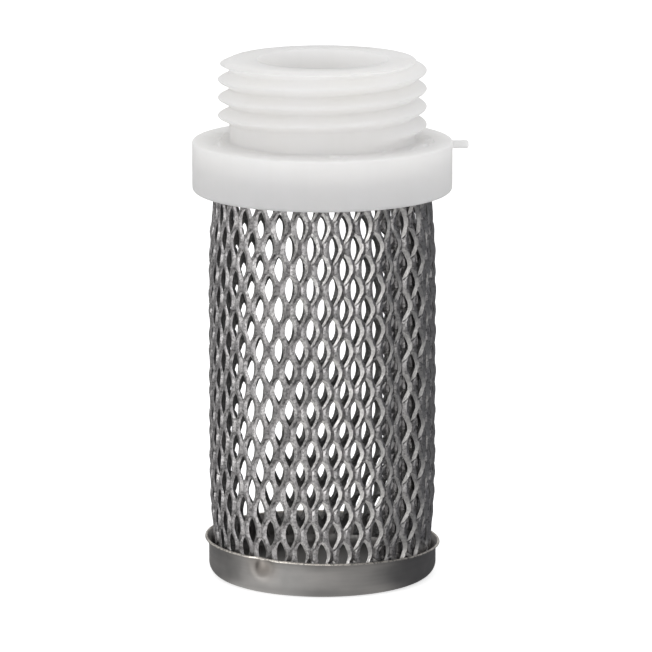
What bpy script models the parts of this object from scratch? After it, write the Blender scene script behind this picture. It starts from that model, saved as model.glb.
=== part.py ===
"""Inlet strainer: a rolled expanded-steel tube with a pressed end cap and a threaded plastic connector.

The strainer stands on the flat base of its cap. The origin is the centre of that base, +Z runs up the
bore, and -Y is the front. Sizes are in metres. The chain of heights starts at the cap: the tube rests
on the cap's corner, the collar's socket takes the tube's upper end, and the thread stands on the collar.
"""

import math

import bmesh
import bpy

MM = 0.001

# Fit between pieces
CLEARANCE = 0.3 * MM

# End cap, a pressed cup
CAP_RADIUS = 11.55 * MM
CAP_WALL = 0.3 * MM
CAP_HEIGHT = 3.6 * MM
CAP_CORNER_RADIUS = 1.2 * MM
LIP_FLARE = 0.4 * MM
LIP_HEIGHT = 0.9 * MM
LIP_LEAN = math.radians(1.5)

# Expanded sheet: the long way of the openings runs up the tube
SHEET_THICKNESS = 0.5 * MM
OPENING_COLUMNS = 32
OPENING_ROWS = 17
LONG_PITCH = 4.16 * MM
OPENING_LENGTH = 2.8 * MM
BOND_WIDTH = 1.04 * MM
STRAND_TILT = math.radians(8)
SEAM_FIRST_COLUMN = 4
SEAM_COLUMNS = 2
LAP_RISE = 0.25 * MM
PLEAT_RISE = 0.2 * MM

# Rolled tube
TUBE_RADIUS = 11.34 * MM
BOTTOM_BAND = 2.955 * MM
SILL_DROP = 0.4 * MM
SILL_RISE_SHARE = 0.4
TOP_BAND = 2.85 * MM
BULGE_POWER = 6

# Connector collar
COLLAR_RADIUS = 13.075 * MM
COLLAR_HEIGHT = 5.1 * MM
COLLAR_BOTTOM_EDGE = 0.45 * MM
SOCKET_DEPTH = 2.5 * MM
BORE_RADIUS = 6.55 * MM

# Male pipe thread G1/2, right-handed
THREAD_RADIUS = 10.4775 * MM
THREAD_PITCH = 1.814 * MM
THREAD_DEPTH = 1.162 * MM
THREAD_LENGTH = 8.2 * MM
THREAD_CREST_BELOW_TOP = 2.05 * MM
THREAD_TURNS = 3.8
RUNOUT_TURNS = 0.12
CHAMFER_TOP_RADIUS = 9.25 * MM
CHAMFER_SLOPE = 2.2

# Stub left by the moulding gate
GATE_RADIUS = 0.42 * MM
GATE_LENGTH = 1.6 * MM
GATE_ROOT = 0.5 * MM
GATE_DROP = 0.45 * MM

# Facets
ROUND_STEPS = 24
CORNER_STEPS = 3
GATE_STEPS = 8
PLAIN_LINE_ROWS = 4
MERGE = 1e-7

FRONT_ANGLE = math.radians(270)
LEFT_ANGLE = math.radians(180)

# Heights and radii that follow from the sizes above
BAND_RADIUS = CAP_RADIUS - CAP_WALL - CLEARANCE
TUBE_BOTTOM = CAP_CORNER_RADIUS
ROW_PITCH = LONG_PITCH / 2
FIRST_ROW = TUBE_BOTTOM + BOTTOM_BAND
LAST_ROW = FIRST_ROW + (OPENING_ROWS - 1) * ROW_PITCH
TUBE_TOP = LAST_ROW + OPENING_LENGTH / 2 + TOP_BAND
COLLAR_BOTTOM = TUBE_TOP + CLEARANCE - SOCKET_DEPTH
COLLAR_TOP = COLLAR_BOTTOM + COLLAR_HEIGHT
THREAD_TOP = COLLAR_TOP + THREAD_LENGTH
THREAD_ROOT_RADIUS = THREAD_RADIUS - THREAD_DEPTH


def clear_scene():
    """Removes every object that the file opened with."""
    for item in list(bpy.data.objects):
        bpy.data.objects.remove(item, do_unlink=True)


def material(name, colour, roughness, metallic):
    """Makes a Principled material."""
    finish = bpy.data.materials.new(name)
    finish.use_nodes = True
    shader = finish.node_tree.nodes["Principled BSDF"]
    shader.inputs["Base Color"].default_value = (*colour, 1.0)
    shader.inputs["Roughness"].default_value = roughness
    shader.inputs["Metallic"].default_value = metallic
    return finish


def polar(radius, angle, z):
    """Gives the point at a radius and an angle round the strainer's axis."""
    return (radius * math.cos(angle), radius * math.sin(angle), z)


def finish_object(name, bm, finish, sharp_angle):
    """Turns a closed bmesh into a named, smooth-shaded object with outward faces."""
    bmesh.ops.recalc_face_normals(bm, faces=bm.faces)
    mesh = bpy.data.meshes.new(name)
    bm.to_mesh(mesh)
    bm.free()
    mesh.materials.append(finish)
    mesh.shade_smooth()
    mesh.set_sharp_from_angle(angle=sharp_angle)
    item = bpy.data.objects.new(name, mesh)
    bpy.context.collection.objects.link(item)
    return item


def arc(centre_radius, centre_z, radius, start, end, steps):
    """Gives the points of a fillet in a turned profile, from angle start to angle end."""
    points = []
    for step in range(steps + 1):
        angle = start + (end - start) * step / steps
        points.append((centre_radius + radius * math.cos(angle), centre_z + radius * math.sin(angle)))
    return points


def turn(bm, profile):
    """Turns an outline of (radius, z) points round the axis."""
    points = [bm.verts.new((radius, 0.0, z)) for radius, z in profile]
    edges = [bm.edges.new(pair) for pair in zip(points, points[1:])]
    bmesh.ops.spin(
        bm, geom=points + edges, cent=(0, 0, 0), axis=(0, 0, 1), angle=math.tau, steps=ROUND_STEPS,
        use_merge=True,
    )
    bmesh.ops.remove_doubles(bm, verts=bm.verts, dist=MERGE)


def build_end_cap(finish):
    """Turns the cup: flat base, rounded corner, short wall and flared lip, one wall thick.

    The lip is trimmed a little out of square, lower on the right, as on the real cup.
    """
    corner = CAP_RADIUS - CAP_CORNER_RADIUS
    lip_start = CAP_HEIGHT - LIP_HEIGHT
    lip_middle = lip_start + LIP_HEIGHT / 2
    quarter_flare = LIP_FLARE / 4
    outside = [(0.0, 0.0)]
    outside += arc(corner, CAP_CORNER_RADIUS, CAP_CORNER_RADIUS, -math.pi / 2, 0.0, CORNER_STEPS)
    outside += [
        (CAP_RADIUS, lip_start),
        (CAP_RADIUS + quarter_flare, lip_middle),
        (CAP_RADIUS + LIP_FLARE, CAP_HEIGHT),
    ]
    inside = [
        (CAP_RADIUS + LIP_FLARE - CAP_WALL, CAP_HEIGHT),
        (CAP_RADIUS - CAP_WALL, lip_start),
    ]
    inner_corner = CAP_CORNER_RADIUS - CAP_WALL
    inside += arc(corner, CAP_CORNER_RADIUS, inner_corner, 0.0, -math.pi / 2, CORNER_STEPS - 1)
    inside.append((0.0, CAP_WALL))
    bm = bmesh.new()
    turn(bm, outside + inside)
    for vert in bm.verts:
        above_corner = max(vert.co.z - CAP_CORNER_RADIUS, 0.0) / (CAP_HEIGHT - CAP_CORNER_RADIUS)
        vert.co.z -= vert.co.x * math.tan(LIP_LEAN) * above_corner
    return finish_object("end_cap", bm, finish, math.radians(50))


class ExpandedTube:
    """Rolled expanded sheet with open diamonds, closed end bands and a lap seam.

    An opening has four corners. On every ribbon of metal the left edge stands out and the right edge
    lies in a little, because stretching tilts the strands, and the sheet's thickness follows the tilt.
    At the seam one layer fills the other's openings, so the strands there are pleats without openings.
    """

    OUTER = 0
    INNER = 1

    def __init__(self):
        self.bm = bmesh.new()
        self.column_angle = math.tau / OPENING_COLUMNS
        self.half_gap = (self.column_angle * TUBE_RADIUS - BOND_WIDTH * math.cos(STRAND_TILT)) / 2
        self.rise = BOND_WIDTH * math.sin(STRAND_TILT) / 2
        self.corners = {}
        self.rings = {}
        self.seam_columns = range(SEAM_FIRST_COLUMN, SEAM_FIRST_COLUMN + SEAM_COLUMNS)
        self.seam_middle = SEAM_FIRST_COLUMN + (SEAM_COLUMNS - 1) / 2
        self.open_columns = [c for c in range(OPENING_COLUMNS) if c not in self.seam_columns]

    def surface_radius(self, z):
        """Gives the sheet's outer radius at a height: the tube bulges between its clamped ends."""
        share = min(max((z - FIRST_ROW) / (LAST_ROW - FIRST_ROW), 0.0), 1.0)
        bulge = 1.0 - abs(2.0 * share - 1.0) ** BULGE_POWER
        return BAND_RADIUS + (TUBE_RADIUS - BAND_RADIUS) * bulge

    def point(self, column, across, z, rise, layer):
        """Adds a point of the sheet at a place round the tube, a height and a rise off the surface."""
        if layer == self.INNER:
            across -= SHEET_THICKNESS * math.sin(STRAND_TILT) * (rise is not None)
        radius = self.surface_radius(z) + (rise or 0.0)
        if layer == self.INNER:
            radius -= SHEET_THICKNESS * (math.cos(STRAND_TILT) if rise is not None else 1.0)
        angle = FRONT_ANGLE + column * self.column_angle + across / TUBE_RADIUS
        return self.bm.verts.new(polar(radius, angle, z))

    def add_corners(self):
        """Adds the corners of every opening on both faces of the sheet."""
        half_length = OPENING_LENGTH / 2
        for row in range(OPENING_ROWS):
            z = FIRST_ROW + row * ROW_PITCH
            side_z = z - SILL_DROP if row == 0 else z
            rise = self.rise * SILL_RISE_SHARE if row == 0 else self.rise
            for column in self.open_columns:
                place = column + 0.5 * (row % 2)
                for layer in (self.OUTER, self.INNER):
                    found = {
                        "left": self.point(place, -self.half_gap, side_z, -rise, layer),
                        "right": self.point(place, self.half_gap, side_z, rise, layer),
                        "top": self.point(place, 0.0, z + half_length, 0.0, layer),
                    }
                    if row > 0:
                        found["bottom"] = self.point(place, 0.0, z - half_length, 0.0, layer)
                    self.corners[row, column, layer] = found

    def add_rings(self):
        """Adds the tube's two end rings, with one point of each in the middle of the seam."""
        for layer in (self.OUTER, self.INNER):
            for column in range(OPENING_COLUMNS):
                if column not in self.seam_columns:
                    self.rings["top", column, layer] = self.point(column, 0.0, TUBE_TOP, None, layer)
                if not SEAM_FIRST_COLUMN <= column < SEAM_FIRST_COLUMN + SEAM_COLUMNS - 1:
                    ring_point = self.point(column + 0.5, 0.0, TUBE_BOTTOM, None, layer)
                    self.rings["bottom", column, layer] = ring_point
            for end, z in (("top", TUBE_TOP), ("bottom", TUBE_BOTTOM)):
                self.rings[end, "seam", layer] = self.point(self.seam_middle, 0.0, z, None, layer)

    def corner(self, row, column, name, layer):
        """Gives a corner of an opening, or nothing where the sheet is closed."""
        found = self.corners.get((row, column % OPENING_COLUMNS, layer))
        return found[name] if found else None

    def face(self, points, layer):
        """Adds a face where all its points exist."""
        if all(points):
            self.bm.faces.new(points if layer == self.OUTER else points[::-1])

    def add_sheet(self, layer):
        """Adds one side of the sheet: strands, bonds and the two end bands."""
        last = OPENING_ROWS - 1
        for row in range(OPENING_ROWS):
            for column in self.open_columns:
                right_up = column + row % 2
                left_up = right_up - 1
                if row < last:
                    self.face(
                        [self.corner(row, column, "top", layer), self.corner(row, column, "right", layer),
                         self.corner(row + 1, right_up, "bottom", layer),
                         self.corner(row + 1, right_up, "left", layer)], layer)
                    self.face(
                        [self.corner(row, column, "left", layer), self.corner(row, column, "top", layer),
                         self.corner(row + 1, left_up, "right", layer),
                         self.corner(row + 1, left_up, "bottom", layer)], layer)
                if 0 < row < last:
                    self.face(
                        [self.corner(row - 1, right_up, "top", layer),
                         self.corner(row, column + 1, "left", layer),
                         self.corner(row + 1, right_up, "bottom", layer),
                         self.corner(row, column, "right", layer)], layer)
        for column in self.open_columns:
            self.add_band_faces(column, layer)

    def add_band_faces(self, column, layer):
        """Closes the sheet below the first row and above the last row, next to one opening."""
        last = OPENING_ROWS - 1
        following = (column + 1) % OPENING_COLUMNS
        ring_left = self.rings["bottom", (column - 1) % OPENING_COLUMNS, layer]
        ring_right = self.rings["bottom", column, layer]
        left = self.corner(0, column, "left", layer)
        right = self.corner(0, column, "right", layer)
        self.face([ring_left, ring_right, right, left], layer)
        if following in self.seam_columns:
            return
        self.face(
            [ring_right, self.corner(0, following, "left", layer),
             self.corner(1, column, "bottom", layer), right], layer)
        ring_points = [self.rings["top", following, layer], self.rings["top", column, layer]]
        self.face(
            [self.corner(last, column, "top", layer), self.corner(last, column, "right", layer),
             self.corner(last - 1, column, "top", layer), self.corner(last, following, "left", layer),
             self.corner(last, following, "top", layer), *ring_points], layer)

    def add_opening_walls(self):
        """Joins the sheet's two sides through every opening."""
        for (row, column, layer), outer in self.corners.items():
            if layer == self.INNER:
                continue
            inner = self.corners[row, column, self.INNER]
            names = ["top", "left", "bottom", "right"] if row > 0 else ["top", "left", "right"]
            for name, after in zip(names, names[1:] + names[:1]):
                self.bm.faces.new([outer[name], outer[after], inner[after], inner[name]])

    def seam_border(self, side, layer):
        """Lists the points up one border of the closed seam strip."""
        last = OPENING_ROWS - 1
        left = side == "left"
        column = SEAM_FIRST_COLUMN - 1 if left else SEAM_FIRST_COLUMN + SEAM_COLUMNS
        facing = "right" if left else "left"
        stands_out = 1 if left else 0
        ring = "bottom", (column if left else column - 1), layer
        points = [self.rings[ring]]
        for row in range(OPENING_ROWS):
            whole = row % 2 == stands_out
            if whole and row > 0:
                points.append(self.corner(row, column, "bottom", layer))
            points.append(self.corner(row, column, facing, layer))
            if whole or row == last:
                points.append(self.corner(row, column, "top", layer))
        points.append(self.rings["top", column, layer])
        return points

    def pleat_line(self, column, side, layer):
        """Lists the points up one edge of a seam pleat, on the layer that laps over."""
        across = side * self.half_gap
        points = [self.rings["bottom", "seam", layer]]
        for row in range(OPENING_ROWS):
            inside = 0 < row < OPENING_ROWS - 1
            rise = side * PLEAT_RISE + LAP_RISE if inside else 0.0
            place = column + 0.5 * (row % 2)
            points.append(self.point(place, across, FIRST_ROW + row * ROW_PITCH, rise, layer))
        points.append(self.rings["top", "seam", layer])
        return points

    def plain_line(self, layer):
        """Lists the points up the middle of the seam on the tube's inner side."""
        points = [self.rings["bottom", "seam", layer]]
        for row in range(0, OPENING_ROWS, PLAIN_LINE_ROWS):
            points.append(self.point(self.seam_middle, 0.0, FIRST_ROW + row * ROW_PITCH, 0.0, layer))
        points.append(self.rings["top", "seam", layer])
        return points

    def zip_lines(self, left, right):
        """Fills the strip between two rising lines of points with triangles."""
        i = j = 0
        while i < len(left) - 1 or j < len(right) - 1:
            climb_left = j == len(right) - 1 or (i < len(left) - 1 and left[i + 1].co.z <= right[j + 1].co.z)
            tip = left[i + 1] if climb_left else right[j + 1]
            if len({left[i], right[j], tip}) == 3:
                self.bm.faces.new([left[i], right[j], tip])
            if climb_left:
                i += 1
            else:
                j += 1

    def add_seam(self):
        """Closes the strip of the lap seam, pleated outside and plain inside."""
        lines = [self.seam_border("left", self.OUTER)]
        for column in self.seam_columns:
            lines.append(self.pleat_line(column, -1, self.OUTER))
            lines.append(self.pleat_line(column, 1, self.OUTER))
        lines.append(self.seam_border("right", self.OUTER))
        for left, right in zip(lines, lines[1:]):
            self.zip_lines(left, right)
        middle = self.plain_line(self.INNER)
        self.zip_lines(self.seam_border("left", self.INNER), middle)
        self.zip_lines(middle, self.seam_border("right", self.INNER))

    def close_ends(self):
        """Joins the two sides of the sheet round each end of the tube."""
        for end in ("top", "bottom"):
            order = []
            for column in range(OPENING_COLUMNS):
                if (end, column, self.OUTER) in self.rings:
                    order.append(column)
                if column == SEAM_FIRST_COLUMN - 1:
                    order.append("seam")
            for name, after in zip(order, order[1:] + order[:1]):
                outer = self.rings[end, name, self.OUTER], self.rings[end, after, self.OUTER]
                inner = self.rings[end, after, self.INNER], self.rings[end, name, self.INNER]
                self.bm.faces.new([*outer, *inner])


def build_mesh_tube(finish):
    """Builds the rolled tube of expanded sheet."""
    tube = ExpandedTube()
    tube.add_corners()
    tube.add_rings()
    tube.add_sheet(ExpandedTube.OUTER)
    tube.add_sheet(ExpandedTube.INNER)
    tube.add_opening_walls()
    tube.add_seam()
    tube.close_ends()
    return finish_object("mesh_tube", tube.bm, finish, math.radians(25))


def add_thread(bm):
    """Adds the threaded wall as rows of points that climb round the neck, a crest and a root a turn."""
    thread_end = THREAD_TOP - THREAD_LENGTH
    turns_below = math.ceil(THREAD_LENGTH / THREAD_PITCH) + 1
    crest_at_left = THREAD_TOP - THREAD_CREST_BELOW_TOP
    zero_crest = crest_at_left - THREAD_PITCH * (LEFT_ANGLE / math.tau + turns_below)
    top_count = (THREAD_TOP - zero_crest) / THREAD_PITCH
    run_out_start = top_count - THREAD_TURNS
    rows = 2 * (math.ceil(top_count) + 2)
    grid = {}
    for step in range(ROUND_STEPS):
        angle = math.tau * step / ROUND_STEPS
        for row in range(rows):
            turn_count = row / 2 + step / ROUND_STEPS
            z = zero_crest + THREAD_PITCH * turn_count
            height = 0.0
            if row % 2 == 0:
                height = min(max((turn_count - run_out_start) / RUNOUT_TURNS, 0.0), 1.0)
            radius = THREAD_ROOT_RADIUS + THREAD_DEPTH * height
            z = min(max(z, thread_end), THREAD_TOP)
            radius = min(radius, CHAMFER_TOP_RADIUS + CHAMFER_SLOPE * (THREAD_TOP - z))
            if z == thread_end:
                radius = THREAD_ROOT_RADIUS
            grid[step, row] = bm.verts.new(polar(radius, angle, z))
    for step in range(ROUND_STEPS):
        for row in range(rows - 1):
            low, high = grid[step, row], grid[step, row + 1]
            after = (step + 1) % ROUND_STEPS
            shift = 2 if after == 0 else 0
            if row + 1 + shift < rows:
                bm.faces.new([low, grid[after, row + shift], grid[after, row + 1 + shift], high])
            elif row + shift < rows:
                bm.faces.new([low, grid[after, row + shift], high])


def build_connector(finish):
    """Builds the moulding: bore, thread, collar and the socket that holds the tube."""
    socket_radius = (BAND_RADIUS + CLEARANCE) / math.cos(math.pi / ROUND_STEPS)
    socket_top = COLLAR_BOTTOM + SOCKET_DEPTH
    profile = [
        (THREAD_ROOT_RADIUS, COLLAR_TOP),
        (COLLAR_RADIUS, COLLAR_TOP),
        (COLLAR_RADIUS, COLLAR_BOTTOM + COLLAR_BOTTOM_EDGE),
        (COLLAR_RADIUS - COLLAR_BOTTOM_EDGE, COLLAR_BOTTOM),
        (socket_radius, COLLAR_BOTTOM),
        (socket_radius, socket_top),
        (BORE_RADIUS, socket_top),
        (BORE_RADIUS, THREAD_TOP),
        (CHAMFER_TOP_RADIUS, THREAD_TOP),
    ]
    bm = bmesh.new()
    turn(bm, profile)
    add_thread(bm)
    bmesh.ops.remove_doubles(bm, verts=bm.verts, dist=MERGE)
    bmesh.ops.dissolve_degenerate(bm, dist=MERGE, edges=bm.edges)
    connector = finish_object("threaded_connector", bm, finish, math.radians(40))
    union = connector.modifiers.new("gate_stub", "BOOLEAN")
    union.operation = "UNION"
    union.object = build_gate_stub()
    return connector


def build_gate_stub():
    """Makes the small round stub on the collar's side, level with the collar's top."""
    bm = bmesh.new()
    length = GATE_LENGTH + GATE_ROOT
    bmesh.ops.create_cone(
        bm, cap_ends=True, segments=GATE_STEPS, radius1=GATE_RADIUS, radius2=GATE_RADIUS, depth=length,
    )
    tip = [edge for edge in bm.edges if all(vert.co.z > 0 for vert in edge.verts)]
    bmesh.ops.bevel(bm, geom=tip, offset=GATE_RADIUS / 2, segments=1, affect="EDGES")
    mesh = bpy.data.meshes.new("gate_stub")
    bm.to_mesh(mesh)
    bm.free()
    stub = bpy.data.objects.new("gate_stub", mesh)
    stub.rotation_euler = (0.0, math.pi / 2, 0.0)
    middle = COLLAR_RADIUS + GATE_LENGTH - length / 2
    stub.location = (middle, 0.0, COLLAR_TOP - GATE_DROP)
    stub.hide_render = True
    stub.display_type = "WIRE"
    bpy.context.collection.objects.link(stub)
    return stub


def main():
    """Builds the strainer's three pieces."""
    clear_scene()
    steel_sheet = material("expanded_steel", (0.46, 0.45, 0.44), 0.38, 1.0)
    steel_cap = material("pressed_steel", (0.56, 0.55, 0.53), 0.34, 1.0)
    nylon = material("natural_nylon", (0.80, 0.80, 0.78), 0.42, 0.0)
    build_end_cap(steel_cap)
    build_mesh_tube(steel_sheet)
    build_connector(nylon)


main()
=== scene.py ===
"""Looks of a hydraulic inlet strainer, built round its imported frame.

The strainer has three pieces: a moulded connector with a male pipe thread, a rolled tube of
expanded steel sheet, and a pressed steel end cap. Each one is a class that holds its sizes in
millimetres, models its mesh with Blender's own operators and dresses it in its finish.
"""

import logging
import math
from dataclasses import dataclass
from enum import Enum

import bpy
import numpy as np
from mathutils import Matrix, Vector, noise


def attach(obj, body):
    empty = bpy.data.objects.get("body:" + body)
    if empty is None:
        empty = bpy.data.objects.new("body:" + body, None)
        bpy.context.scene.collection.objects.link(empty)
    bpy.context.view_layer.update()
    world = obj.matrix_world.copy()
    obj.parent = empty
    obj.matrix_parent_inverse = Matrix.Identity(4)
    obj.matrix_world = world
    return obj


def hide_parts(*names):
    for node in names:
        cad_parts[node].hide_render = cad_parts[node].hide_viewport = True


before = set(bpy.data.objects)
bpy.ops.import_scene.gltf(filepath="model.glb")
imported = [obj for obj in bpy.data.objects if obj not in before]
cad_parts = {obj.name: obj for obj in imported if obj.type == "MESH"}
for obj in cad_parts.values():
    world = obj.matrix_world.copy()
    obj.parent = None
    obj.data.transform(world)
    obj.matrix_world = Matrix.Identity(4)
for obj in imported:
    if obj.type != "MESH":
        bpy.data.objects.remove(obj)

LOG = logging.getLogger("strainer")
MM = 0.001
Profile = list[tuple[float, float]]
Colour = tuple[float, float, float]
Place = tuple[float, float, float]
Socket = bpy.types.NodeSocket


def smoothstep(low: float, high: float, value: np.ndarray) -> np.ndarray:
    """Give a soft ramp from 0 at low to 1 at high.

    Args:
        low: Value at which the ramp starts.
        high: Value at which the ramp ends.
        value: Numbers to look up.

    Returns:
        The ramp's height for each number.
    """
    share = np.clip((value - low) / (high - low), 0.0, 1.0)
    return share * share * (3.0 - 2.0 * share)


def arc(centre: tuple[float, float], radius: float, start: float, end: float, steps: int) -> Profile:
    """List the points of a fillet in a turned profile.

    Args:
        centre: Radius and height of the fillet's centre.
        radius: Radius of the fillet.
        start: First angle in degrees, 0 pointing away from the axis.
        end: Last angle in degrees.
        steps: Number of straight steps.

    Returns:
        The (radius, height) points, both ends among them.
    """
    angles = [math.radians(start + (end - start) * step / steps) for step in range(steps + 1)]
    return [(centre[0] + radius * math.cos(a), centre[1] + radius * math.sin(a)) for a in angles]


class Bench:
    """The modelling moves that all pieces share."""

    @staticmethod
    def deselect() -> None:
        """Deselect every object."""
        bpy.ops.object.select_all(action="DESELECT")

    @staticmethod
    def take(piece: bpy.types.Object) -> None:
        """Make one piece the only selected and the active one."""
        Bench.deselect()
        piece.select_set(True)
        bpy.context.view_layer.objects.active = piece

    @staticmethod
    def open(piece: bpy.types.Object, kind: str = "VERT") -> None:
        """Enter edit mode on one piece with everything in it selected.

        Args:
            piece: The piece to edit.
            kind: What the selection works on: VERT, EDGE or FACE.
        """
        Bench.take(piece)
        bpy.ops.object.mode_set(mode="EDIT")
        bpy.ops.mesh.select_mode(type=kind)
        bpy.ops.mesh.select_all(action="SELECT")

    @staticmethod
    def close() -> None:
        """Leave edit mode."""
        bpy.ops.object.mode_set(mode="OBJECT")

    @staticmethod
    def settle(piece: bpy.types.Object) -> None:
        """Put a piece's place, turn and scale into its mesh."""
        Bench.take(piece)
        bpy.ops.object.transform_apply(location=True, rotation=True, scale=True)

    @staticmethod
    def apply(piece: bpy.types.Object, modifier: bpy.types.Modifier) -> None:
        """Apply one modifier to a piece."""
        Bench.take(piece)
        bpy.ops.object.modifier_apply(modifier=modifier.name)

    @staticmethod
    def weld(piece: bpy.types.Object, distance: float) -> None:
        """Merge doubled vertices, then turn all faces outwards.

        Args:
            piece: The piece to clean.
            distance: Largest gap between doubles, in metres.
        """
        Bench.open(piece)
        bpy.ops.mesh.remove_doubles(threshold=distance)
        bpy.ops.mesh.normals_make_consistent(inside=False)
        Bench.close()

    @staticmethod
    def cut(piece: bpy.types.Object, place: Vector, normal: Vector) -> None:
        """Saw a closed piece at a plane, drop the part that the normal points to and close the cut.

        Args:
            piece: The piece to cut.
            place: A point on the plane.
            normal: The plane's normal.
        """
        Bench.open(piece)
        bpy.ops.mesh.bisect(
            plane_co=place, plane_no=normal, use_fill=True, clear_outer=True, threshold=1e-7
        )
        Bench.close()

    @staticmethod
    def smooth(piece: bpy.types.Object, angle: float) -> None:
        """Shade a piece smooth, with sharp edges above an angle in degrees."""
        Bench.take(piece)
        bpy.ops.object.shade_smooth_by_angle(angle=math.radians(angle))

    @staticmethod
    def points(piece: bpy.types.Object) -> np.ndarray:
        """Give a piece's vertices as rows of x, y and z, in millimetres."""
        flat = np.empty(len(piece.data.vertices) * 3)
        piece.data.vertices.foreach_get("co", flat)
        return flat.reshape(-1, 3) / MM

    @staticmethod
    def place(piece: bpy.types.Object, points: np.ndarray) -> None:
        """Put a piece's vertices at rows of x, y and z, in millimetres."""
        piece.data.vertices.foreach_set("co", (points * MM).ravel())
        piece.data.update()


class Lathe:
    """A ring of vertices that is extruded along a profile, as a turned part is."""

    def __init__(self, name: str, segments: int, start: tuple[float, float]) -> None:
        """Add the first ring.

        Args:
            name: Name of the piece.
            segments: Number of vertices round the axis.
            start: Radius and height of the ring, in millimetres.
        """
        self.radius, self.height = start
        Bench.deselect()
        bpy.ops.mesh.primitive_circle_add(
            vertices=segments, radius=self.radius * MM, location=(0.0, 0.0, self.height * MM)
        )
        self.piece = bpy.context.object
        self.piece.name = name
        self.piece.data.name = name
        Bench.settle(self.piece)

    def follow(self, profile: Profile) -> None:
        """Extrude the ring from point to point of a profile.

        Args:
            profile: The (radius, height) points after the first, in millimetres.
        """
        Bench.open(self.piece, "EDGE")
        for radius, height in profile:
            rise = (0.0, 0.0, (height - self.height) * MM)
            bpy.ops.mesh.extrude_edges_move(TRANSFORM_OT_translate={"value": rise})
            share = radius / self.radius
            bpy.ops.transform.resize(value=(share, share, 1.0), center_override=(0.0, 0.0, 0.0))
            self.radius, self.height = radius, height
        Bench.close()

    def join_ends(self) -> bpy.types.Object:
        """Bridge the last ring to the first, and give the closed piece."""
        Bench.open(self.piece, "EDGE")
        bpy.ops.mesh.select_all(action="DESELECT")
        bpy.ops.mesh.select_non_manifold()
        bpy.ops.mesh.bridge_edge_loops()
        Bench.close()
        Bench.weld(self.piece, 1e-6)
        return self.piece

    def fill_ends(self) -> bpy.types.Object:
        """Fill the first and the last ring, and give the closed piece."""
        Bench.open(self.piece, "EDGE")
        bpy.ops.mesh.select_all(action="DESELECT")
        bpy.ops.mesh.select_non_manifold()
        bpy.ops.mesh.edge_face_add()
        Bench.close()
        Bench.weld(self.piece, 1e-6)
        return self.piece


class NodeBoard:
    """A material's node tree, with short calls for the nodes that the finishes use."""

    def __init__(self, name: str) -> None:
        """Start a material with a Principled shader."""
        self.material = bpy.data.materials.new(name)
        self.material.use_nodes = True
        self.nodes = self.material.node_tree.nodes
        self.links = self.material.node_tree.links
        self.shader = self.nodes["Principled BSDF"]
        self.place = self.nodes.new("ShaderNodeTexCoord").outputs["Object"]

    def mapped(self, scale: tuple[float, float, float], shift: Place = (0.0, 0.0, 0.0)) -> Socket:
        """Give the object's coordinates, scaled and shifted.

        Args:
            scale: Scale along x, y and z.
            shift: Place in metres that becomes the origin.

        Returns:
            The mapped coordinates.
        """
        mapping = self.nodes.new("ShaderNodeMapping")
        mapping.inputs["Location"].default_value = [-s * k for s, k in zip(shift, scale)]
        mapping.inputs["Scale"].default_value = scale
        self.links.new(self.place, mapping.inputs["Vector"])
        return mapping.outputs["Vector"]

    def noise(
        self, scale: float, detail: float, roughness: float, at: Socket | None = None
    ) -> Socket:
        """Give a cloudy pattern from 0 to 1.

        Args:
            scale: Patterns a metre.
            detail: Octaves.
            roughness: Share that each octave keeps.
            at: Coordinates, the object's own if left out.

        Returns:
            The pattern's value.
        """
        texture = self.nodes.new("ShaderNodeTexNoise")
        texture.inputs["Scale"].default_value = scale
        texture.inputs["Detail"].default_value = detail
        texture.inputs["Roughness"].default_value = roughness
        self.links.new(at or self.place, texture.inputs["Vector"])
        return texture.outputs["Fac"]

    def ramp(self, value: Socket, stops: list[tuple[float, Colour]]) -> Socket:
        """Turn a value into a colour.

        Args:
            value: The value to look up.
            stops: Places from 0 to 1 with their colours.

        Returns:
            The colour.
        """
        ramp = self.nodes.new("ShaderNodeValToRGB")
        band = ramp.color_ramp
        while len(band.elements) < len(stops):
            band.elements.new(0.5)
        for element, (place, colour) in zip(band.elements, stops):
            element.position = place
            element.color = (*colour, 1.0)
        self.links.new(value, ramp.inputs["Fac"])
        return ramp.outputs["Color"]

    def span(self, value: Socket, low: float, high: float, to: tuple[float, float]) -> Socket:
        """Map a value's range onto another, clamped.

        Args:
            value: The value to map.
            low: Start of its range.
            high: End of its range.
            to: Start and end of the new range.

        Returns:
            The mapped value.
        """
        node = self.nodes.new("ShaderNodeMapRange")
        node.inputs["From Min"].default_value = low
        node.inputs["From Max"].default_value = high
        node.inputs["To Min"].default_value = to[0]
        node.inputs["To Max"].default_value = to[1]
        self.links.new(value, node.inputs["Value"])
        return node.outputs["Result"]

    def blend(self, share: Socket, low: Socket, high: Colour) -> Socket:
        """Mix a fixed colour into another.

        Args:
            share: How much of the fixed colour shows.
            low: The colour below.
            high: The fixed colour.

        Returns:
            The mixed colour.
        """
        node = self.nodes.new("ShaderNodeMix")
        node.data_type = "RGBA"
        self.links.new(share, node.inputs["Factor"])
        self.links.new(low, node.inputs["A"])
        node.inputs["B"].default_value = (*high, 1.0)
        return node.outputs["Result"]

    def bump(self, height: Socket, depth: float) -> None:
        """Raise the surface by a pattern.

        Args:
            height: The pattern.
            depth: Its full height in millimetres.
        """
        node = self.nodes.new("ShaderNodeBump")
        node.inputs["Strength"].default_value = 1.0
        node.inputs["Distance"].default_value = depth * MM
        self.links.new(height, node.inputs["Height"])
        self.links.new(node.outputs["Normal"], self.shader.inputs["Normal"])

    def wire(self, value: Socket, socket: str) -> None:
        """Link a value to one of the shader's sockets."""
        self.links.new(value, self.shader.inputs[socket])

    def set(self, **values: float) -> None:
        """Set the shader's own sockets, with underscores for spaces in their names."""
        for name, value in values.items():
            self.shader.inputs[name.replace("_", " ")].default_value = value


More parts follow.
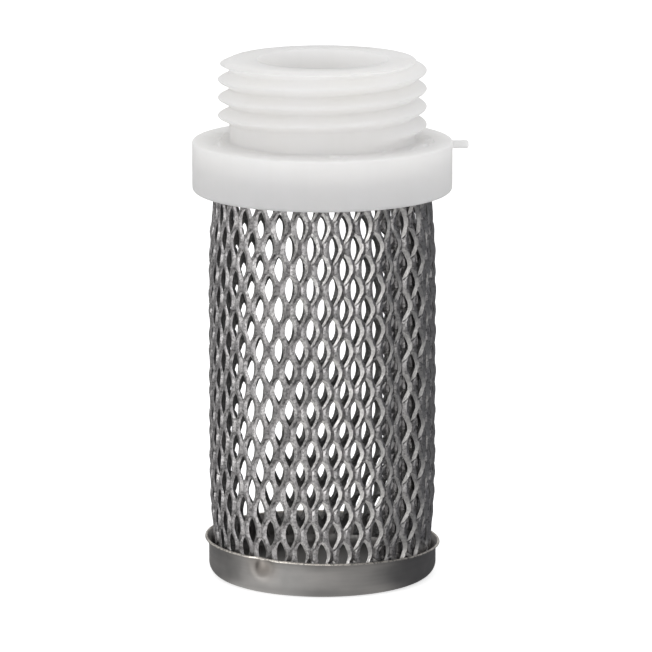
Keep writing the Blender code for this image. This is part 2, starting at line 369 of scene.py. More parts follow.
@dataclass(frozen=True)
class NylonFinish:
    """Natural nylon as moulded: whitish, slightly translucent, with faint flow streaks."""

    light: Colour = (0.82, 0.81, 0.805)
    warm: Colour = (0.81, 0.795, 0.77)
    streak: Colour = (0.72, 0.72, 0.70)
    streak_share: float = 0.18
    roughness: float = 0.45
    depth: float = 9.0
    bleed: Colour = (1.0, 1.0, 0.97)

    def build(self) -> bpy.types.Material:
        """Make the material."""
        board = NodeBoard("natural_nylon")
        clouds = board.noise(95.0, 3.0, 0.5)
        streaks = board.noise(1.0, 3.0, 0.55, board.mapped((620.0, 620.0, 38.0)))
        base = board.ramp(clouds, [(0.35, self.light), (0.68, self.warm)])
        share = board.span(streaks, 0.52, 0.78, (0.0, self.streak_share))
        board.wire(board.blend(share, base, self.streak), "Base Color")
        grain = board.noise(1400.0, 4.0, 0.6)
        shine = board.span(grain, 0.3, 0.7, (self.roughness - 0.05, self.roughness + 0.08))
        board.wire(shine, "Roughness")
        board.bump(grain, 0.012)
        board.set(Subsurface_Weight=1.0, Subsurface_Scale=self.depth * MM)
        board.set(IOR=1.53, Specular_IOR_Level=0.3)
        board.shader.inputs["Subsurface Radius"].default_value = self.bleed
        return board.material


class Zone(Enum):
    """The parts of an opening's surround, each with its own finish; the inside one is painted dark as
    painted shade inside the tube.
    """

    FACE = 0
    CREST = 1
    INSIDE = 2


@dataclass(frozen=True)
class SheetFinish:
    """One zone of slit and stretched stainless sheet, with a painted highlight on the tube's right side if
    it has one.
    """

    name: str
    dark: Colour
    light: Colour
    roughness: float
    pit: Colour = (0.12, 0.12, 0.12)
    pit_share: float = 0.75
    relief: float = 0.06
    painted_highlight: Colour | None = None
    painted_highlight_share: float = 0.6
    painted_highlight_start: float = -1.0
    painted_highlight_end: float = 2.5

    def build(self) -> bpy.types.Material:
        """Make the material: blotches a millimetre across, with a finer grain and bump."""
        board = NodeBoard(self.name)
        blotches = board.noise(780.0, 3.0, 0.6)
        grain = board.noise(3600.0, 4.0, 0.7)
        colour = board.ramp(blotches, [(0.32, self.dark), (0.68, self.light)])
        pits = board.span(grain, 0.46, 0.62, (0.0, self.pit_share))
        speckled = board.blend(pits, colour, self.pit)
        # Painted highlight: on the tube's right side the colour is blended towards a lighter, even grey,
        # standing in for light on the cut edges there.
        if self.painted_highlight:
            axes = board.nodes.new("ShaderNodeSeparateXYZ")
            board.links.new(board.place, axes.inputs["Vector"])
            start, end = self.painted_highlight_start * MM, self.painted_highlight_end * MM
            share = board.span(axes.outputs["X"], start, end, (0.0, self.painted_highlight_share))
            speckled = board.blend(share, speckled, self.painted_highlight)
        board.wire(speckled, "Base Color")
        shine = board.span(blotches, 0.3, 0.7, (self.roughness + 0.1, self.roughness - 0.06))
        board.wire(shine, "Roughness")
        board.bump(grain, self.relief)
        board.set(Metallic=1.0)
        return board.material


# Painted highlight for the cap: a lighter, warmer colour along the top edge of its lip.
LIP_HIGHLIGHT = SheetFinish("lip_painted_highlight", (0.52, 0.49, 0.45), (0.80, 0.76, 0.69), 0.34)
# The cut edges carry a painted highlight on the tube's right side.
CUT_EDGE = SheetFinish("cut_edge", (0.46, 0.45, 0.44), (0.70, 0.69, 0.68), 0.42, painted_highlight=(0.60, 0.59, 0.58))
SHEET = {
    Zone.FACE: SheetFinish("rolled_face", (0.41, 0.40, 0.405), (0.67, 0.655, 0.655), 0.45),
    Zone.CREST: CUT_EDGE,
    # Painted shade: the tube's inner face and the openings' inner walls are painted darker than the outer
    # face, standing in for the shade inside the tube.
    Zone.INSIDE: SheetFinish("inner_face_painted_shade", (0.20, 0.20, 0.20), (0.34, 0.335, 0.33), 0.5),
}


@dataclass(frozen=True)
class CapFinish:
    """Matte pressed steel with faint drawing lines and a heat tint round the weld."""

    dark: Colour = (0.30, 0.295, 0.29)
    light: Colour = (0.42, 0.405, 0.395)
    tint: Colour = (0.22, 0.18, 0.145)
    line_share: float = 0.45
    tint_share: float = 0.45
    roughness: float = 0.44

    def build(self, weld: Vector) -> bpy.types.Material:
        """Make the material.

        Args:
            weld: Centre of the weld in metres.

        Returns:
            The material.
        """
        board = NodeBoard("pressed_steel")
        lines = board.noise(1.0, 4.0, 0.6, board.mapped((120.0, 120.0, 2600.0)))
        clouds = board.noise(210.0, 3.0, 0.55)
        colour = board.ramp(clouds, [(0.3, self.dark), (0.7, self.light)])
        drawn = board.span(lines, 0.45, 0.75, (0.0, self.line_share))
        lined = board.blend(drawn, colour, self.dark)
        ball = board.nodes.new("ShaderNodeTexGradient")
        ball.gradient_type = "SPHERICAL"
        spread = board.mapped((420.0, 420.0, 520.0), tuple(weld))
        board.links.new(spread, ball.inputs["Vector"])
        heat = board.span(ball.outputs["Fac"], 0.05, 0.75, (0.0, self.tint_share))
        board.wire(board.blend(heat, lined, self.tint), "Base Color")
        shine = board.span(clouds, 0.3, 0.7, (self.roughness - 0.05, self.roughness + 0.08))
        board.wire(shine, "Roughness")
        board.bump(lines, 0.01)
        board.set(Metallic=1.0)
        return board.material


class StrainerPiece:
    """What the strainer's pieces share: they ride on the body and stand for a solid of the frame."""

    node: str
    slot: str

    def seat(self, piece: bpy.types.Object) -> None:
        """Place a finished piece in the frame in its solid's stead.

        Args:
            piece: The finished piece.
        """
        piece.name = self.node + "_look"
        piece.data.name = piece.name
        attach(piece, "root")
        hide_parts(self.node)
        piece.data.calc_loop_triangles()
        LOG.info("%s: %d triangles", piece.name, len(piece.data.loop_triangles))


@dataclass
class Connector(StrainerPiece):
    """The nylon moulding: male pipe thread, collar, bore and the socket round the tube's end."""

    node: str = "threaded_connector"
    slot: str = "natural_nylon"
    segments: int = 144
    collar_radius: float = 13.075
    collar_bottom: float = 39.485
    collar_top: float = 44.585
    bottom_round: float = 0.45
    top_round: float = 0.22
    socket_radius: float = 11.35
    socket_depth: float = 2.5
    bore_radius: float = 6.55
    thread_radius: float = 10.4775
    thread_depth: float = 1.162
    thread_pitch: float = 1.814
    thread_triangle: float = 0.9605
    thread_softness: float = 0.34
    thread_top: float = 52.785
    crest_below_top: float = 2.05
    thread_turns: float = 3.8
    runout: float = 0.12
    chamfer_radius: float = 9.25
    chamfer_slope: float = 2.2
    row_height: float = 0.0907
    burr_rings: tuple[float, ...] = (11.3, 11.1, 10.95, 10.75, 10.55, 10.35, 10.15, 9.8)
    burr_height: float = 0.9
    burr_threshold: float = 0.16
    stub_radius: float = 0.42
    stub_root: float = 0.5
    stub_drop: float = 0.45

    def profile(self) -> Profile:
        """List the outline from the socket's mouth round the outside and down the bore."""
        root = self.thread_radius - self.thread_depth
        low, high = self.collar_bottom, self.collar_top
        lower, upper = self.collar_radius - self.bottom_round, self.collar_radius - self.top_round
        points = [(lower - 0.02, low)]
        points += arc((lower, low + self.bottom_round), self.bottom_round, -80, 0, 5)
        points += [(self.collar_radius, low + 1.6), (self.collar_radius, high - 1.6)]
        points += arc((upper, high - self.top_round), self.top_round, 0, 90, 4)
        points += [(radius, high) for radius in self.burr_rings]
        points += arc((root + 0.2, high + 0.2), 0.2, 270, 180, 3)
        rows = math.floor((self.thread_top - high - 0.3) / self.row_height)
        points += [(root, self.thread_top - row * self.row_height) for row in range(rows, 0, -1)]
        points += [(self.chamfer_radius, self.thread_top)]
        points += arc((self.bore_radius + 0.12, self.thread_top - 0.12), 0.12, 90, 180, 3)
        end = low + self.socket_depth
        points += [(self.bore_radius, end + 0.1), (self.bore_radius + 0.1, end)]
        points += [(self.socket_radius, end)]
        return points

    def thread_form(self, away: np.ndarray) -> np.ndarray:
        """Give the thread's height over its root at a distance from the crest.

        Args:
            away: Distance along the axis from the nearest crest, in pitches.

        Returns:
            Height over the root, in millimetres, with rounded crest and root.
        """
        triangle = self.thread_triangle * self.thread_pitch
        fall = away * 2.0 * triangle - triangle / 6.0
        softness = self.thread_softness

        def soft_max(a: np.ndarray, b: float) -> np.ndarray:
            """Give the larger of two numbers, rounded where they meet."""
            near = np.clip(softness - np.abs(a - b), 0.0, None) / softness
            return np.maximum(a, b) + near * near * softness / 4.0

        fall = soft_max(fall, 0.0)
        return soft_max(self.thread_depth - fall, 0.0)

    def cut_thread(self, piece: bpy.types.Object) -> None:
        """Move the neck's wall out into a right-handed thread that runs out above the collar.

        Args:
            piece: The turned moulding.
        """
        root = self.thread_radius - self.thread_depth
        points = Bench.points(piece)
        radius = np.hypot(points[:, 0], points[:, 1])
        angle = np.arctan2(points[:, 1], points[:, 0])
        height = points[:, 2]
        wall = (height > self.collar_top + 0.25) & (height < self.thread_top - 0.01)
        wall &= radius > root - 0.05
        turn = (height - (self.thread_top - self.crest_below_top)) / self.thread_pitch
        turn = turn + 0.5 - angle / math.tau
        crest = np.round(turn)
        crest_height = height + (crest - turn) * self.thread_pitch
        start = self.thread_top - self.thread_turns * self.thread_pitch
        grown = np.clip((crest_height - start) / (self.runout * self.thread_pitch), 0.0, 1.0)
        form = self.thread_form(np.abs(turn - crest)) * grown
        chamfer = self.chamfer_radius + self.chamfer_slope * (self.thread_top - height)
        cut = np.minimum(root + form, chamfer)
        scale = np.where(wall, cut / np.maximum(radius, 1.0), 1.0)
        points[:, 0] *= scale
        points[:, 1] *= scale
        Bench.place(piece, points)

    def raise_burr(self, piece: bpy.types.Object) -> None:
        """Raise scraps of flash on the collar's upper side, in a broken ring round the thread.

        Args:
            piece: The turned moulding.
        """
        points = Bench.points(piece)
        radius = np.hypot(points[:, 0], points[:, 1])
        outer, inner = self.burr_rings[0] - 0.1, self.burr_rings[-1] + 0.1
        ring = (radius > inner) & (radius < outer) & (np.abs(points[:, 2] - self.collar_top) < 0.01)
        for index in np.flatnonzero(ring):
            x, y, z = points[index]
            broad = noise.noise(Vector((x * 0.55, y * 0.55, 3.0)))
            fine = noise.noise(Vector((x, y, z)) * 2.1)
            scrap = min(max(broad + 0.5 * fine - self.burr_threshold, 0.0), 0.3)
            points[index, 2] += self.burr_height * scrap
        Bench.place(piece, points)

    def stub(self) -> bpy.types.Object:
        """Model the round stub that the moulding gate left, broken off unevenly at its tip."""
        Bench.deselect()
        centre = (0.0, 0.0, (self.collar_top - self.stub_drop) * MM)
        bpy.ops.mesh.primitive_circle_add(
            vertices=20, radius=self.stub_radius * MM, fill_type="NGON", rotation=(0.0, math.pi / 2, 0.0),
            location=((self.collar_radius - self.stub_root) * MM, 0.0, centre[2]),
        )
        stub = bpy.context.object
        Bench.settle(stub)
        Bench.open(stub, "FACE")
        steps = [(self.stub_root + 0.1, 1.0), (0.5, 1.0), (0.5, 1.02)]
        steps += [(0.34, 1.0), (0.11, 0.86), (0.05, 0.6)]
        for forward, size in steps:
            bpy.ops.mesh.extrude_region_move(TRANSFORM_OT_translate={"value": (forward * MM, 0.0, 0.0)})
            bpy.ops.transform.resize(value=(1.0, size, size), center_override=centre)
        Bench.close()
        Bench.weld(stub, 1e-7)
        return stub

    def build(self, finish: NylonFinish) -> None:
        """Model the moulding and dress it.

        Args:
            finish: The nylon.
        """
        lathe = Lathe("connector", self.segments, (self.socket_radius, self.collar_bottom))
        lathe.follow(self.profile())
        piece = lathe.join_ends()
        self.cut_thread(piece)
        self.raise_burr(piece)
        stub = self.stub()
        union = piece.modifiers.new("stub", "BOOLEAN")
        union.operation = "UNION"
        union.object = stub
        Bench.apply(piece, union)
        bpy.data.objects.remove(stub)
        Bench.smooth(piece, 34)
        piece.data.materials.clear()
        piece.data.materials.append(finish.build())
        self.seat(piece)


@dataclass
class EndCap(StrainerPiece):
    """The pressed cup under the tube, with a flared lip that is trimmed a little out of square."""

    node: str = "end_cap"
    slot: str = "pressed_steel"
    segments: int = 288
    radius: float = 11.55
    wall: float = 0.3
    height: float = 3.6
    corner: float = 1.2
    flare: float = 0.4
    lip: float = 0.9
    lean: float = 1.5
    lean_back: float = 0.8
    weld_angle: float = -31.4
    weld_height: float = 2.95
    weld_radius: float = 0.62
    weld_nugget: float = 0.2
    weld_dent: float = 0.12
    lip_dent: float = 0.2
    lip_wave: float = 0.05

    def profile(self) -> Profile:
        """List the outline from the base's centre up the outside, over the lip and down the inside."""
        inner = self.corner - self.wall
        middle = (self.radius - self.corner, self.corner)
        lip_start = self.height - self.lip
        points = [(6.0, 0.0), (middle[0], 0.0)]
        points += arc(middle, self.corner, -80, 0, 8)
        points += [(self.radius, self.corner + step * 0.25) for step in range(1, 5)]
        points += [(self.radius, lip_start - 0.25), (self.radius, lip_start)]
        shares = [step / 5 for step in range(1, 6)]
        top = self.height - self.wall / 2
        lip = [(self.radius + self.flare * s * s, lip_start + (top - lip_start) * s) for s in shares]
        points += lip
        edge = self.radius + self.flare - self.wall / 2
        points += arc((edge, top), self.wall / 2, 30, 180, 4)
        points += [(reach - self.wall, height) for reach, height in reversed(lip[:-1])]
        points += [(self.radius - self.wall, lip_start - 0.2)]
        points += arc(middle, inner, 0, -90, 5)
        points += [(6.0, self.wall), (1.0, self.wall)]
        return points

    def weld_point(self) -> Vector:
        """Give the middle of the weld on the cap's outside, in metres."""
        turn = math.radians(self.weld_angle)
        reach = (self.radius + 0.12) * MM
        return Vector((reach * math.sin(turn), -reach * math.cos(turn), self.weld_height * MM))

    def press(self, piece: bpy.types.Object) -> None:
        """Lean the lip, sink the two spot welds and dent the lip beside them.

        Args:
            piece: The turned cup.
        """
        points = Bench.points(piece)
        above = np.clip((points[:, 2] - self.corner) / (self.height - self.corner), 0.0, None)
        points[:, 2] -= points[:, 0] * math.tan(math.radians(self.lean)) * above
        points[:, 2] -= points[:, 1] * math.tan(math.radians(self.lean_back)) * above
        reach = np.hypot(points[:, 0], points[:, 1])
        turn = np.degrees(np.arctan2(points[:, 0], -points[:, 1]))
        for weld in (self.weld_angle, self.weld_angle + 180.0):
            along = np.radians((turn - weld + 180.0) % 360.0 - 180.0) * self.radius
            away = np.hypot(along, points[:, 2] - self.weld_height) / self.weld_radius
            nugget = self.weld_nugget * np.exp(-(away ** 4))
            dent = -self.weld_dent * np.exp(-(((away - 1.6) / 0.5) ** 2))
            lip = -self.lip_dent * np.exp(-(along ** 2)) * smoothstep(0.6, 1.0, above)
            push = np.where(reach > self.radius - self.wall - 0.1, nugget + dent + lip, 0.0)
            push *= smoothstep(self.corner - 0.3, self.corner + 0.5, points[:, 2])
            points[:, 0] *= 1.0 + push / np.maximum(reach, 1.0)
            points[:, 1] *= 1.0 + push / np.maximum(reach, 1.0)
        for index, (x, y, z) in enumerate(points):
            if z > self.corner:
                wave = noise.noise(Vector((x, y, z)) * 0.22) * self.lip_wave
                points[index, 2] += wave * above[index]
        Bench.place(piece, points)

    def build(self, finish: CapFinish, lip_highlight: SheetFinish) -> None:
        """Model the cup and dress it.

        Args:
            finish: The pressed steel.
            lip_highlight: Painted highlight along the top edge of the lip, a lighter and warmer finish.
        """
        lathe = Lathe("cap", self.segments, (1.0, 0.0))
        lathe.follow(self.profile())
        piece = lathe.fill_ends()
        # Painted highlight: the faces on the lip's top edge get the second, lighter and warmer finish.
        edge = (self.height - self.wall / 2 - 0.01) * MM
        for face in piece.data.polygons:
            face.material_index = int(all(piece.data.vertices[v].co.z > edge for v in face.vertices))
        self.press(piece)
        Bench.smooth(piece, 40)
        piece.data.materials.append(finish.build(self.weld_point()))
        piece.data.materials.append(lip_highlight.build())
        self.seat(piece)


@dataclass
class ExpandedTube(StrainerPiece):
    """The rolled tube of slit and stretched sheet, with its two ends lapped at the right.

    One opening's surround is modelled flat, repeated into a sheet, sawn to size, and rolled up.
    """

    node: str = "mesh_tube"
    slot: str = "expanded_steel"
    columns: int = 37
    columns_left: int = 30
    double_rows: int = 11
    tube_radius: float = 11.34
    band_radius: float = 10.95
    bottom: float = 1.2
    top: float = 41.685
    first_row: float = 4.155
    last_row: float = 37.435
    row_pitch: float = 2.08
    column_turn: float = 11.17
    ridge: float = 0.12
    upper_drop: float = 0.03
    flat_drop: float = 0.05
    crease_drop: float = 0.29
    cut_drop: float = 0.18
    rolled_drop: float = 0.18
    depth: float = 0.46
    lap_start: float = 28.7
    lap_end: float = 61.0
    lap_lift: float = 0.2
    lap_slip: float = 5.2
    lap_rise: float = 0.25
    lap_shut: float = 0.85
    inner_growth: float = 0.28
    swell: float = 0.05
    drift: float = 0.075
    fine_drift: float = 0.03
    drift_seed: int = 5

    def border(self) -> Profile:
        """List the sixteen points where one surround meets its neighbours, anticlockwise from the right.

        The slanted parts run along the strands' ridges, the upright ones in the grooves of the joints.
        Each point on the left has its partner on the right, half a pitch or a pitch away.
        """
        across, along = math.radians(self.column_turn) * self.tube_radius / 2, self.row_pitch
        side, node, crease = (1.08, 0.10), (1.08, 0.60), (0.02, 1.68)
        upper, top = (0.78, 0.75), (0.52, 1.35)
        lower, bottom = (0.63, -0.48), (0.33, -1.06)
        right = [side, node, upper, top, crease]
        left = [(lower[0] - across, lower[1] + along), (bottom[0] - across, bottom[1] + along),
                (node[0] - 2 * across, node[1]), (side[0] - 2 * across, side[1]),
                (crease[0] - across, crease[1] - along), (top[0] - across, top[1] - along),
                (upper[0] - across, upper[1] - along), (node[0] - across, node[1] - along)]
        return right + left + [bottom, lower, (crease[0] + across, crease[1] - along)]

    def rings(self) -> list[np.ndarray]:
        """Give the six rings round one opening, from its inner surround to its outer surround.

        The strands twist as they wind along the tube. At an opening's right side a strand turns its cut
        edge to the front, up to a sharp ridge; at the left side it lies rounded. A dark crease runs
        beside each ridge, from one opening's tip to the next.

        Returns:
            For each ring, sixteen rows of place across, height off the sheet and place along.
        """
        outline = [
            (0.50, 0.25), (0.44, 0.55), (0.31, 0.85), (0.17, 1.18),
            (-0.02, 1.40), (-0.19, 1.20), (-0.33, 0.95), (-0.41, 0.62),
            (-0.45, 0.22), (-0.43, -0.15), (-0.36, -0.50), (-0.25, -0.85),
            (-0.02, -1.22), (0.17, -0.90), (0.35, -0.52), (0.48, -0.14),
        ]
        high, deep = self.ridge, self.ridge - self.crease_drop
        low = self.ridge - self.upper_drop
        cut, rolled = self.ridge - self.cut_drop, self.ridge - self.rolled_drop
        edge_rise = [deep, deep, low, low, deep, high, high, deep]
        edge_rise += [deep, deep, low, low, deep, high, high, deep]
        hole_rise = [cut, cut, cut, cut, rolled - 0.04] + [rolled] * 8 + [cut - 0.02, cut - 0.02, cut]
        hole = np.array([(x, rise, z) for (x, z), rise in zip(outline, hole_rise)])
        edge = np.array([(x, rise, z) for (x, z), rise in zip(self.border(), edge_rise)])
        crest = hole + (edge - hole) * 0.5
        step = hole + (edge - hole) * 0.82
        ridges = {0: (0.85, high, 0.22), 1: (0.83, high - 0.01, 0.56), 15: (0.77, high, -0.17)}
        for index, ridge in ridges.items():
            step[index] = ridge
            crest[index] = (hole[index] + step[index]) / 2
        flat = self.ridge - self.flat_drop
        rounded = {
            5: (0.5, flat - 0.06), 6: (0.5, flat - 0.03), 7: (0.5, flat), 8: (0.52, flat),
            9: (0.52, flat), 10: (0.5, flat), 11: (0.5, flat),
        }
        creased = {
            4: (0.6, deep + 0.02), 5: (0.74, deep + 0.02), 6: (0.76, deep + 0.02),
            7: (0.8, flat - 0.08), 8: (0.82, flat - 0.05), 9: (0.82, flat - 0.03),
            10: (0.82, flat + 0.02), 11: (0.82, flat + 0.02),
        }
        for ring, places in ((crest, rounded), (step, creased)):
            for index, (share, rise) in places.items():
                ring[index] = hole[index] + (edge[index] - hole[index]) * share
                ring[index, 1] = rise
        back = hole + (edge - hole) * 0.7
        back[:, 1] = self.ridge - self.depth + 0.04
        behind = edge.copy()
        behind[:, 1] = self.ridge - self.depth
        return [behind, back, hole, crest, step, edge]

    def zone_of(self, ring: int, step: int) -> Zone:
        """Tell which finish a face of the surround has.

        Args:
            ring: Number of the face's inner ring.
            step: Its place round the opening.

        Returns:
            The face's zone.
        """
        if ring < 2:
            return Zone.INSIDE
        strip = step >= 12 or step < 4
        if strip and (ring < 4 or step in (2, 3, 12, 13)):
            return Zone.CREST
        return Zone.FACE

    def surround(self) -> bpy.types.Object:
        """Model one opening's surround, flat and facing the front."""
        Bench.deselect()
        bpy.ops.mesh.primitive_circle_add(vertices=16, radius=MM, rotation=(math.pi / 2, 0.0, 0.0))
        piece = bpy.context.object
        Bench.settle(piece)
        Bench.open(piece, "EDGE")
        for _ in range(5):
            bpy.ops.mesh.extrude_edges_move(TRANSFORM_OT_translate={"value": (0.0, -MM, 0.0)})
        Bench.close()
        rings = self.rings()
        points = Bench.points(piece)
        ring_of = np.round(-points[:, 1]).astype(int)
        step_of = np.round(np.arctan2(points[:, 2], points[:, 0]) / (math.tau / 16)).astype(int) % 16
        for zone in Zone:
            piece.data.materials.append(bpy.data.materials.new(zone.name.lower()))
        for face in piece.data.polygons:
            steps = sorted(set(int(step_of[v]) for v in face.vertices))
            first = 15 if steps == [0, 15] else steps[0]
            ring = min(int(ring_of[v]) for v in face.vertices)
            face.material_index = self.zone_of(ring, first).value
        shaped = np.array([rings[ring][step] for ring, step in zip(ring_of, step_of)])
        shaped[:, 1] *= -1.0
        Bench.place(piece, shaped)
        return piece

    def repeat(self, piece: bpy.types.Object, count: int, shift: tuple[float, float, float]) -> None:
        """Copy a piece in a row.

        Args:
            piece: The piece.
            count: Number of copies, the first one among them.
            shift: Millimetres from copy to copy.
        """
        array = piece.modifiers.new("repeat", "ARRAY")
        array.use_relative_offset = False
        array.use_constant_offset = True
        array.constant_offset_displace = [s * MM for s in shift]
        array.count = count
        Bench.apply(piece, array)

    def sheet(self) -> bpy.types.Object:
        """Repeat the surround into a flat sheet, and saw its two ends where they lap."""
        pitch = math.radians(self.column_turn) * self.tube_radius
        piece = self.surround()
        self.repeat(piece, self.columns, (pitch, 0.0, 0.0))
        Bench.take(piece)
        bpy.ops.object.duplicate()
        second = bpy.context.object
        bpy.ops.transform.translate(value=(pitch / 2 * MM, 0.0, self.row_pitch * MM))
        Bench.settle(second)
        piece.select_set(True)
        bpy.context.view_layer.objects.active = piece
        bpy.ops.object.join()
        self.repeat(piece, self.double_rows, (0.0, 0.0, 2 * self.row_pitch))
        left, low = -self.columns_left * pitch, self.first_row - 2 * self.row_pitch
        Bench.take(piece)
        bpy.ops.transform.translate(value=(left * MM, 0.0, low * MM))
        Bench.settle(piece)
        Bench.weld(piece, 5e-6)
        start = math.radians(self.lap_start - 360.0) * self.tube_radius
        end = math.radians(self.lap_end) * self.tube_radius
        Bench.cut(piece, Vector((start * MM, 0.0, 0.0)), Vector((-1.0, 0.0, 0.0)))
        Bench.cut(piece, Vector((end * MM, 0.0, 0.0)), Vector((1.0, 0.0, 0.0)))
        return piece

    def shut(self, points: np.ndarray) -> np.ndarray:
        """Narrow the openings of the seam's under layer, which the spot welding pressed nearly shut.

        Args:
            points: Rows of x, y and z on the flat sheet.

        Returns:
            The new places along x.
        """
        pitch = math.radians(self.column_turn) * self.tube_radius
        away = []
        for side in (0.0, 0.5):
            across = points[:, 0] - (np.round(points[:, 0] / pitch - side) + side) * pitch
            rows = (points[:, 2] - self.first_row) / (2 * self.row_pitch)
            along = (rows - np.round(rows - side) - side) * 2 * self.row_pitch
            away.append((np.abs(across) * 2 / pitch + np.abs(along) / self.row_pitch, across))
        (first, first_across), (second, second_across) = away
        nearest = np.minimum(first, second)
        across = np.where(first < second, first_across, second_across)
        pressed = smoothstep(-284.0, -292.0, np.degrees(points[:, 0] / self.tube_radius))
        return points[:, 0] - self.lap_shut * across * pressed * smoothstep(0.98, 0.72, nearest)

    def roll(self, piece: bpy.types.Object) -> None:
        """Roll the flat sheet into the tube.

        The middle bulges between the clamped ends. The sheet's right end laps over its left end, whose
        openings lie half covered. Every opening is a little uneven, as stretched metal is.

        Args:
            piece: The flat sheet.
        """
        points = Bench.points(piece)
        turn = np.degrees(self.shut(points) / self.tube_radius)
        lift = -points[:, 1]
        height = points[:, 2].copy()
        share = np.clip((height - self.first_row) / (self.last_row - self.first_row), 0.0, 1.0)
        bulge = 1.0 - np.abs(2.0 * share - 1.0) ** 6
        radius = self.band_radius + (self.tube_radius - self.band_radius) * bulge
        free = smoothstep(4.4, 7.5, height) * smoothstep(38.5, 35.5, height)
        over = smoothstep(10.0, 32.0, turn)
        under = smoothstep(-286.0, -300.0, turn)
        radius += self.lap_lift * free * over - (0.6 - 0.38 * free) * under
        slipped = smoothstep(-230.0, -296.0, turn)
        height += self.lap_rise * slipped * free
        turn = turn + self.lap_slip * slipped
        inner = self.ridge - self.depth
        turned_in = smoothstep(-42.0, -54.0, turn) * smoothstep(-128.0, -112.0, turn)
        lift -= self.inner_growth * turned_in * smoothstep(self.ridge - 0.3, inner, lift)
        relief = 1.0 - 0.35 * smoothstep(33.0, 38.0, turn) + 0.8 * smoothstep(43.0, 49.0, turn)
        lift = np.where(turn > 0.0, inner + (lift - inner) * relief, lift)
        wave = np.cos(math.tau * (points[:, 2] - self.first_row) / self.row_pitch)
        lift += self.swell * wave * free
        angle = np.radians(turn)
        # Without a seed, noise_vector takes one from the clock and differs from run to run.
        noise.seed_set(self.drift_seed)
        for index, (a, z) in enumerate(zip(angle, height)):
            where = Vector((self.tube_radius * a, 7.0, z))
            drift = noise.noise_vector(where * 0.42) * self.drift
            drift += noise.noise_vector(where * 1.3) * self.fine_drift
            angle[index] += drift.x / self.tube_radius
            height[index] += drift.z
            lift[index] += drift.y * 0.6
        reach_out = radius + lift
        rolled = np.column_stack([reach_out * np.sin(angle), -reach_out * np.cos(angle), height])
        Bench.place(piece, rolled)
        Bench.cut(piece, Vector((0.0, 0.0, (self.bottom + 0.013) * MM)), Vector((0.0, 0.0, -1.0)))
        Bench.cut(piece, Vector((0.0, 0.0, (self.top - 0.011) * MM)), Vector((0.0, 0.0, 1.0)))

    def build(self, finishes: dict[Zone, SheetFinish]) -> None:
        """Model the tube and dress it.

        Args:
            finishes: The finish of each zone.
        """
        piece = self.sheet()
        self.roll(piece)
        Bench.weld(piece, 1e-6)
        Bench.smooth(piece, 36)
        for zone, finish in finishes.items():
            piece.data.materials[zone.value] = finish.build()
        self.seat(piece)


@dataclass(frozen=True)
class Lamp:
    """A square soft lamp: its place in metres, its power in watts, and whether steel mirrors it."""

    name: str
    place: Place
    power: float
    mirrored: bool


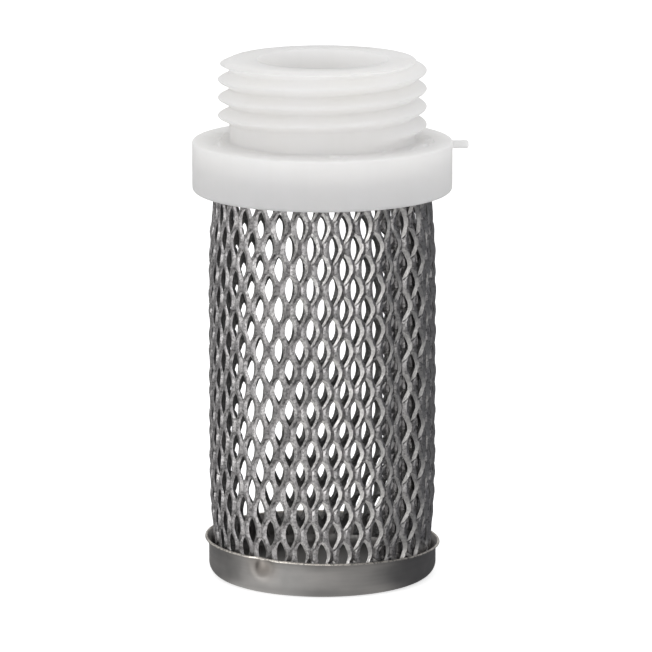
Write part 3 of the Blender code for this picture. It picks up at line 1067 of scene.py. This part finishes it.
@dataclass
class Studio:
    """A pale floor, soft light and the photograph's camera."""

    camera_place: Place = (0.37, -490.5, 127.35)
    camera_pitch: float = 11.73
    lens: float = 273.7
    ways: tuple[tuple[float, float, float, float], ...] = (
        (-0.09, -0.996, 0.3, 0.8), (-0.53, -0.848, 0.87, 0.98), (1.0, 0.0, 0.45, 0.9),
    )
    level_rise: float = 0.6
    room_pale: Colour = (0.74, 0.74, 0.74)
    room_mirrored: tuple[Colour, ...] = (
        (0.66, 0.66, 0.66), (0.85, 0.845, 0.84), (1.85, 1.84, 1.82), (0.14, 0.145, 0.16),
    )
    floor_pale: Colour = (0.82, 0.82, 0.82)
    floor_mirrored: tuple[Colour, ...] = (
        (0.26, 0.26, 0.26), (0.56, 0.557, 0.55), (0.90, 0.895, 0.885), (0.13, 0.132, 0.14),
    )
    floor_lift: float = 0.62
    floor_size: float = 3.0
    lamp_size: float = 0.5
    lamp_aim: Place = (0.0, 0.0, 0.025)
    lamps: tuple[Lamp, ...] = (
        Lamp("key", (-0.75, -0.6, 0.35), 2.3, True),
        Lamp("fill", (0.75, -0.6, 0.2), 2.2, False),
        Lamp("overhead", (0.0, -0.1, 0.95), 0.5, False),
    )

    def mirrored(
        self, nodes: bpy.types.Nodes, links: bpy.types.NodeLinks, place: Socket,
        pale: Colour, colours: tuple[Colour, ...],
    ) -> Socket:
        """Give shiny surfaces a room of several levels, and all others a plain one.

        Args:
            nodes: Nodes of the tree.
            links: Links of the tree.
            place: A direction in the room or a place on the floor.
            pale: The colour that other surfaces see.
            colours: The colours that shiny surfaces see: behind, at the front, in a bright streak at
                the front left, and at the right.

        Returns:
            The colour to show.
        """
        level = nodes.new("ShaderNodeVectorMath")
        level.operation = "MULTIPLY"
        level.inputs[1].default_value = (1.0, 1.0, self.level_rise)
        unit = nodes.new("ShaderNodeVectorMath")
        unit.operation = "NORMALIZE"
        links.new(place, level.inputs[0])
        links.new(level.outputs["Vector"], unit.inputs[0])
        below = None
        for (x, y, start, end), over in zip(self.ways, colours[1:]):
            node = nodes.new("ShaderNodeVectorMath")
            node.operation = "DOT_PRODUCT"
            node.inputs[1].default_value = (x, y, 0.0)
            links.new(unit.outputs["Vector"], node.inputs[0])
            ramp = nodes.new("ShaderNodeMapRange")
            ramp.interpolation_type = "SMOOTHSTEP"
            ramp.inputs["From Min"].default_value = start
            ramp.inputs["From Max"].default_value = end
            links.new(node.outputs["Value"], ramp.inputs["Value"])
            mix = nodes.new("ShaderNodeMix")
            mix.data_type = "RGBA"
            links.new(ramp.outputs["Result"], mix.inputs["Factor"])
            mix.inputs["A"].default_value = (*colours[0], 1.0)
            if below:
                links.new(below, mix.inputs["A"])
            mix.inputs["B"].default_value = (*over, 1.0)
            below = mix.outputs["Result"]
        choice = nodes.new("ShaderNodeMix")
        choice.data_type = "RGBA"
        links.new(nodes.new("ShaderNodeLightPath").outputs["Is Glossy Ray"], choice.inputs["Factor"])
        choice.inputs["A"].default_value = (*pale, 1.0)
        links.new(below, choice.inputs["B"])
        return choice.outputs["Result"]

    def floor(self) -> None:
        """Lay a white floor that keeps the strainer's shadow."""
        Bench.deselect()
        bpy.ops.mesh.primitive_plane_add(size=self.floor_size, location=(0.0, 0.0, 0.0))
        floor = bpy.context.object
        floor.name = "floor"
        board = NodeBoard("white_floor")
        board.set(Roughness=0.9, Specular_IOR_Level=0.0)
        paths = board.nodes.new("ShaderNodeLightPath")
        base = board.nodes.new("ShaderNodeMix")
        base.data_type = "RGBA"
        base.inputs["A"].default_value = (*self.floor_pale, 1.0)
        base.inputs["B"].default_value = (0.0, 0.0, 0.0, 1.0)
        board.links.new(paths.outputs["Is Glossy Ray"], base.inputs["Factor"])
        board.wire(base.outputs["Result"], "Base Color")
        lift = (self.floor_lift, self.floor_lift, self.floor_lift)
        glow = self.mirrored(board.nodes, board.links, board.place, lift, self.floor_mirrored)
        board.wire(glow, "Emission Color")
        seen = paths.outputs["Is Camera Ray"]
        for way in ("Is Transmission Ray", "Is Glossy Ray"):
            either = board.nodes.new("ShaderNodeMath")
            either.operation = "MAXIMUM"
            board.links.new(seen, either.inputs[0])
            board.links.new(paths.outputs[way], either.inputs[1])
            seen = either.outputs["Value"]
        board.wire(seen, "Emission Strength")
        floor.data.materials.append(board.material)

    def sky(self) -> None:
        """Fill the room with soft light."""
        world = bpy.data.worlds.new("room")
        bpy.context.scene.world = world
        world.use_nodes = True
        nodes, links = world.node_tree.nodes, world.node_tree.links
        where = nodes.new("ShaderNodeTexCoord").outputs["Generated"]
        shown = self.mirrored(nodes, links, where, self.room_pale, self.room_mirrored)
        links.new(shown, nodes["Background"].inputs["Color"])

    def hang(self, lamp: Lamp) -> None:
        """Hang a lamp that points at the strainer.

        Args:
            lamp: The lamp to hang.
        """
        light = bpy.data.lights.new(lamp.name, "AREA")
        light.size = self.lamp_size
        light.energy = lamp.power
        hung = bpy.data.objects.new(lamp.name, light)
        bpy.context.scene.collection.objects.link(hung)
        hung.visible_glossy = lamp.mirrored
        hung.location = lamp.place
        aim = Vector(self.lamp_aim) - Vector(lamp.place)
        hung.rotation_euler = aim.to_track_quat("-Z", "Y").to_euler()

    def camera(self) -> None:
        """Set up the photograph's view."""
        data = bpy.data.cameras.new("camera")
        data.lens = self.lens
        data.clip_start = 0.01
        data.clip_end = 20.0
        camera = bpy.data.objects.new("camera", data)
        bpy.context.scene.collection.objects.link(camera)
        camera.location = [c * MM for c in self.camera_place]
        camera.rotation_euler = (math.pi / 2 - math.radians(self.camera_pitch), 0.0, 0.0)
        bpy.context.scene.camera = camera

    def build(self) -> None:
        """Set up the floor, the light and the camera."""
        self.floor()
        self.sky()
        for lamp in self.lamps:
            self.hang(lamp)
        self.camera()
        bpy.context.scene.view_settings.view_transform = "Standard"


def main() -> None:
    """Build the strainer's pieces in order, then the room round them."""
    logging.basicConfig(level=logging.INFO, format="%(name)s: %(message)s")
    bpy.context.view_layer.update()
    EndCap().build(CapFinish(), LIP_HIGHLIGHT)
    ExpandedTube().build(SHEET)
    Connector().build(NylonFinish())
    Studio().build()


if __name__ == "__main__":
    main()
